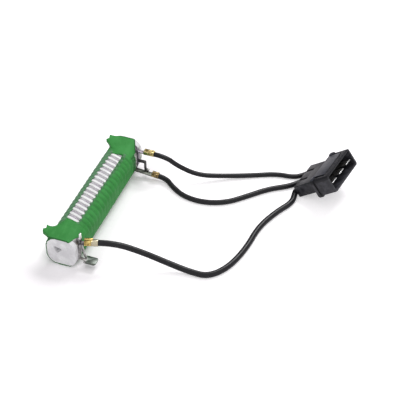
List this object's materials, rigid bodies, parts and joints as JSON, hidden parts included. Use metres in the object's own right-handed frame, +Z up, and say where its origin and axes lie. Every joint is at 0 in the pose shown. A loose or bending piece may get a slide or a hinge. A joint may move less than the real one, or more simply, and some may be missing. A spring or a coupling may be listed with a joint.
{
  "type": "blower motor resistor",
  "caption": "Wirewound blower motor resistor: green coated ceramic core with a bare winding window, three black leads and a moulded blade connector",
  "frame": {"origin": "on the underside of the coated core, midway along its length and midway across its width", "axes": "X across the core towards the leads and the connector, Y along the core, Z up from the surface the part lies on"},
  "size_m": [0.1622, 0.1382, 0.0273],
  "materials": {
    "green_cement": "satin green cement coat with faint winding ridges",
    "white_ceramic": "unglazed moulded ceramic, slightly chalky",
    "resistance_wire": "dull coiled resistance wire",
    "tinned_steel": "tinned pressed strip",
    "crimp_brass": "pressed brass, lightly aged",
    "lead_copper": "stranded copper ends",
    "solder": "smooth solder bead",
    "lead_insulation": "black flexible insulation with a soft sheen",
    "connector_plastic": "black moulded plastic, fine grain",
    "spring_leaf": "dark scaled spring strip",
    "contact_brass": "tinned brass blades"
  },
  "bodies": {
    "root": {"ceramic_core": "white_ceramic", "resistance_coil": "resistance_wire", "cement_coat": "green_cement", "near_terminal": "tinned_steel", "upper_terminal": "tinned_steel", "tap_terminal": "tinned_steel", "fuse_leaf": "spring_leaf", "fuse_solder": "solder", "near_crimp": "crimp_brass", "upper_crimp": "crimp_brass", "tap_crimp": "crimp_brass", "near_strands": "lead_copper", "upper_strands": "lead_copper", "tap_strands": "lead_copper", "near_lead": "lead_insulation", "upper_lead": "lead_insulation", "tap_lead": "lead_insulation", "connector_housing": "connector_plastic", "near_contact": "contact_brass", "upper_contact": "contact_brass", "tap_contact": "contact_brass"}
  },
  "joints": []
}
